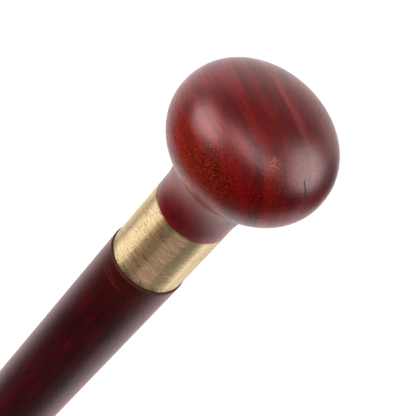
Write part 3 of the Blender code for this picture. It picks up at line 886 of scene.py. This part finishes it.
def insert_piece(name, node, body, slotted_end, material):
    """Threaded insert, with grooves outside that grip the wood and a driver slot at one end."""
    low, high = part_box(node)
    spacing = (high.z - low.z) / (INSERT_GROOVES + 1)
    corners = [(INSERT_RADIUS, high.z)]
    edges = [INSERT_EDGE]
    for count in range(1, INSERT_GROOVES + 1):
        middle = high.z - spacing * count
        corners += [(INSERT_RADIUS, middle + INSERT_GROOVE_WIDTH / 2),
                    (INSERT_RADIUS - INSERT_GROOVE_DEPTH, middle),
                    (INSERT_RADIUS, middle - INSERT_GROOVE_WIDTH / 2)]
        edges += [0, INSERT_EDGE, 0]
    corners += [(INSERT_RADIUS, low.z), (INSERT_BORE_RADIUS, low.z), (INSERT_BORE_RADIUS, high.z)]
    edges += [INSERT_EDGE, 0, 0]

    def relief(radius, height, angle):
        from_end = np.minimum(height - low.z, high.z - height)
        fade = np.clip(from_end / (THREAD_PITCH / 2), 0, 1)
        in_bore = radius < INSERT_BORE_RADIUS + FIT_GAP / 2
        return np.where(in_bore, thread_groove(height, angle) * fade, 0)

    outline = np.vstack([rounded(corners, edges)[:-2],
                         wall_rows(INSERT_BORE_RADIUS, low.z, high.z)])
    piece = turned(name, outline, THREAD_FACETS, relief)
    cut_driver_slot(piece, slotted_end)
    finish(piece, node, body, material)


def washer_piece():
    """Leather washer round the stud, with cut edges that have softened a little."""
    outline = rounded([(TENON_RADIUS, washer_high.z), (TENON_RADIUS, washer_low.z),
                       (INSERT_BORE_RADIUS, washer_low.z), (INSERT_BORE_RADIUS, washer_high.z)],
                      [WASHER_EDGE] * 4)
    piece = turned("leather_washer", outline, SMALL_FACETS)
    finish(piece, "joint_washer", "washer", cut_leather())


def tread_outline():
    """The sole from its rim to its middle: ring grooves between ribs, round a flat middle pad."""
    outline = []
    outer = TIP_BASE_RADIUS - TIP_BASE_EDGE - TREAD_RIB_WIDTH
    while outer - TREAD_GROOVE_WIDTH > TREAD_PAD_DIAMETER / 2:
        inner = outer - TREAD_GROOVE_WIDTH
        groove = [(outer, 0), (outer, TREAD_DEPTH), (inner, TREAD_DEPTH), (inner, 0)]
        ends = [(outer + TREAD_RIB_WIDTH, 0), (inner - TREAD_RIB_WIDTH, 0)]
        outline.append(rounded([ends[0], *groove, ends[1]], [0, *[TREAD_EDGE] * 4, 0])[1:-1])
        outer = inner - TREAD_RIB_WIDTH
    return np.vstack(outline)


def rubber_tip_piece():
    """Rubber foot: a socket for the shaft, a bead round its mouth, a waist and a wide sole."""
    socket_floor = shaft_radius(SHAFT_FOOT) + FIT_GAP
    socket_mouth = shaft_radius(tip_high.z) + FIT_GAP
    neck = socket_mouth + TIP_WALL
    bead = neck + TIP_BEAD_PROUD
    bead_bottom = tip_high.z - TIP_BEAD_HEIGHT
    neck_top = bead_bottom - TIP_BEAD_PROUD
    waist = neck_top - TIP_NECK_LENGTH
    mouth = rounded(
        [(0, TIP_SOLE), (socket_floor, TIP_SOLE), (socket_mouth, tip_high.z), (bead, tip_high.z),
         (bead, bead_bottom), (neck, neck_top), (neck, waist)],
        [0, 0, TREAD_EDGE, TIP_BEAD_EDGE, TIP_BEAD_EDGE, TIP_BEAD_EDGE, 0])
    flare = bezier((neck, waist), (neck, waist / 2),
                   ((neck + TIP_BASE_RADIUS) / 2, TIP_BASE_HEIGHT),
                   (TIP_BASE_RADIUS, TIP_BASE_HEIGHT), FLARE_ROWS)
    rim = rounded([tuple(flare[-2]), tuple(flare[-1]), (TIP_BASE_RADIUS, 0), (0, 0)],
                  [0, TIP_BASE_EDGE / 2, TIP_BASE_EDGE, 0])
    outline = np.vstack([mouth, flare[1:-2], rim[:-1], tread_outline(), rim[-1:]])

    def relief(radius, height, angle):
        """The mould's two halves left a proud line, 45 degrees from X and opposite."""
        off_line = np.abs((angle - MOULD_LINE_ANGLE + pi / 2) % pi - pi / 2) * radius
        outside = (radius > socket_mouth + TIP_WALL / 2) & (height > TIP_BASE_EDGE)
        return np.where(outside & (off_line < MOULD_LINE_WIDTH / 2), -MOULD_LINE_HEIGHT, 0)

    piece = turned("rubber_foot", outline, TIP_FACETS, relief)
    finish(piece, "rubber_tip", "tip", black_rubber())


def disc_piece():
    """Stamped disc under the shaft's foot: its upper edge is rolled over by the punch."""
    outline = rounded([(0, disc_high.z), (disc_high.x, disc_high.z), (disc_high.x, disc_low.z),
                       (0, disc_low.z)], [0, 2 * DISC_EDGE, DISC_EDGE, 0])
    piece = turned("steel_disc", outline, SMALL_FACETS)
    finish(piece, "tip_disc", "tip", plated_steel())


# The camera's own axes, with the stick's lean in the picture
LEAN = pi / 2 - STICK_LEAN_IN_PICTURE
RIGHT = Vector((cos(LEAN), sin(LEAN) * sin(CAMERA_ELEVATION), sin(LEAN) * cos(CAMERA_ELEVATION)))
UP = Vector((-sin(LEAN), cos(LEAN) * sin(CAMERA_ELEVATION), cos(LEAN) * cos(CAMERA_ELEVATION)))
AHEAD = Vector((0, cos(CAMERA_ELEVATION), -sin(CAMERA_ELEVATION)))


def stand(thing, right, up, back, place):
    """Put a camera or lamp at a place, with its own axes along these three directions."""
    turn = Matrix((right, up, back)).transposed().to_4x4()
    turn.translation = place
    thing.matrix_world = turn


def make_camera():
    """Camera of the photograph, placed from the collar's middle."""
    middle = Vector((0, 0, (collar_low.z + collar_high.z) / 2))
    half = PICTURE_SIDE / 2
    across = (COLLAR_PX[0] - half) / FOCAL_LENGTH_PX * COLLAR_DISTANCE
    down = (COLLAR_PX[1] - half) / FOCAL_LENGTH_PX * COLLAR_DISTANCE
    place = middle - RIGHT * across + UP * down - AHEAD * COLLAR_DISTANCE
    lens = bpy.data.cameras.new("camera")
    lens.sensor_fit = "HORIZONTAL"
    lens.sensor_width = SENSOR_MM
    lens.lens = FOCAL_LENGTH_PX * SENSOR_MM / PICTURE_SIDE
    lens.clip_start = NEAREST_SEEN
    lens.clip_end = FARTHEST_SEEN
    camera = put("camera", lens)
    stand(camera, RIGHT, UP, -AHEAD, place)
    bpy.context.scene.camera = camera


def studio_direction(tilt, swing):
    """Direction that lies tilt degrees off the way back to the camera, swung from its right."""
    off = radians(tilt)
    turn = radians(swing)
    return RIGHT * sin(off) * cos(turn) + UP * sin(off) * sin(turn) - AHEAD * cos(off)


# Softboxes: tilt and swing, width and height as seen from the knob, in degrees, and radiance
SOFTBOXES = {"upper left softbox": (53, 131, 42, 50, 6.0),
             "right softbox": (83, -1, 52, 42, 5.3),
             "middle softbox": (29, 40, 60, 24, 4.0)}
SOFTBOX_DISTANCE = 1.6
REFLECTOR_DIRECTION = Vector((0.20, 0.15, -0.97))
REFLECTOR_WIDTH = 80
REFLECTOR_RADIANCE = 4.8
REFLECTOR_DISTANCE = 1.0


def oval_lamp(name, direction, width, height, radiance, distance):
    """Oval lamp that faces the knob: its power is pi times its radiance times its area."""
    lamp = bpy.data.lights.new(name, "AREA")
    lamp.shape = "ELLIPSE"
    lamp.size = 2 * distance * tan(radians(width / 2))
    lamp.size_y = 2 * distance * tan(radians(height / 2))
    lamp.energy = pi * radiance * (pi / 4 * lamp.size * lamp.size_y)
    made = put(name, lamp)
    side = (-AHEAD).cross(direction).normalized()
    place = Vector((0, 0, KNOB_WIDEST)) + direction * distance
    stand(made, side, direction.cross(side), direction, place)
    made.visible_camera = False
    return made


# Parts of the studio: the paper's direction, and tilt and swing of the ceiling and the dark gap
PAPER_DIRECTION = (AHEAD + Vector((0.1, 0, 0))).normalized()
CEILING = (135, 95)
DARK_GAP = (125, -20)


def make_world():
    """White studio: pale paper behind and above the stick, and an unlit room behind the camera."""
    world = bpy.data.worlds.new("studio")
    bpy.context.scene.world = world
    world.use_nodes = True
    tree = world.node_tree
    ray = add(tree, "TexCoord", out="Generated")
    paper = towards(tree, ray, PAPER_DIRECTION, 0.24, 0.70, 0.0, 1.15)
    ceiling = towards(tree, ray, studio_direction(*CEILING), 0.42, 0.97, 0.0, 1.5)
    gap = towards(tree, ray, studio_direction(*DARK_GAP), 0.85, 0.97, 1.0, 0.1)
    lit = add(tree, "Math", {0: paper, 1: ceiling}, operation="MAXIMUM")
    seen = add(tree, "LightPath", out="Is Camera Ray")
    strength = add(tree, "Math", {0: overlap(tree, lit, gap), 1: seen}, operation="MAXIMUM")
    connect(tree, tree.nodes["Background"], {"Color": "#FFFFFF", "Strength": strength})


FLOOR_BELOW_TIP = 35 * MM
FLOOR_SIDE = 24.0
FLOOR_GLOW = 1.08
FLOOR_GLOW_SHARE = 0.88


def make_floor():
    """Plain white floor, a little below the rubber tip so that the tip can be pulled off."""
    mesh = bpy.data.meshes.new("floor")
    half = FLOOR_SIDE / 2
    level = tip_low.z - FLOOR_BELOW_TIP
    mesh.from_pydata([(-half, -half, level), (half, -half, level), (half, half, level),
                      (-half, half, level)], [], [(0, 1, 2, 3)])
    floor = put("floor", mesh)
    made = bpy.data.materials.new("white paper floor")
    made.use_nodes = True
    tree = made.node_tree
    tree.nodes.remove(tree.nodes["Principled BSDF"])
    paper = add(tree, "BsdfDiffuse", {"Color": "#F2F2F2"})
    glow = add(tree, "Emission", {"Strength": FLOOR_GLOW})
    mixed = add(tree, "MixShader", {0: FLOOR_GLOW_SHARE, 1: paper, 2: glow})
    under = add(tree, "NewGeometry", out="Backfacing")
    clear = add(tree, "BsdfTransparent")
    sheet = add(tree, "MixShader", {0: under, 1: mixed, 2: clear})
    connect(tree, tree.nodes["Material Output"], {"Surface": sheet})
    mesh.materials.append(made)
    floor.visible_glossy = False
    floor.visible_diffuse = False
    floor.visible_shadow = False


knob_piece()
collar_piece()
shaft_piece()

stud_piece()
insert_brass = turned_brass()
insert_piece("insert_in_knob", "knob_insert", "knob", insert_low.z, insert_brass)
insert_piece("insert_in_shaft", "shaft_insert", "stick", lower_insert_high.z, insert_brass)
washer_piece()
rubber_tip_piece()
disc_piece()

make_camera()
for name, (tilt, swing, width, height, radiance) in SOFTBOXES.items():
    oval_lamp(name, studio_direction(tilt, swing), width, height, radiance, SOFTBOX_DISTANCE)
reflector = oval_lamp("reflector below", REFLECTOR_DIRECTION, REFLECTOR_WIDTH, REFLECTOR_WIDTH,
                      REFLECTOR_RADIANCE, REFLECTOR_DISTANCE)
reflector.visible_glossy = False
make_world()
make_floor()
bpy.context.scene.view_settings.view_transform = "Standard"
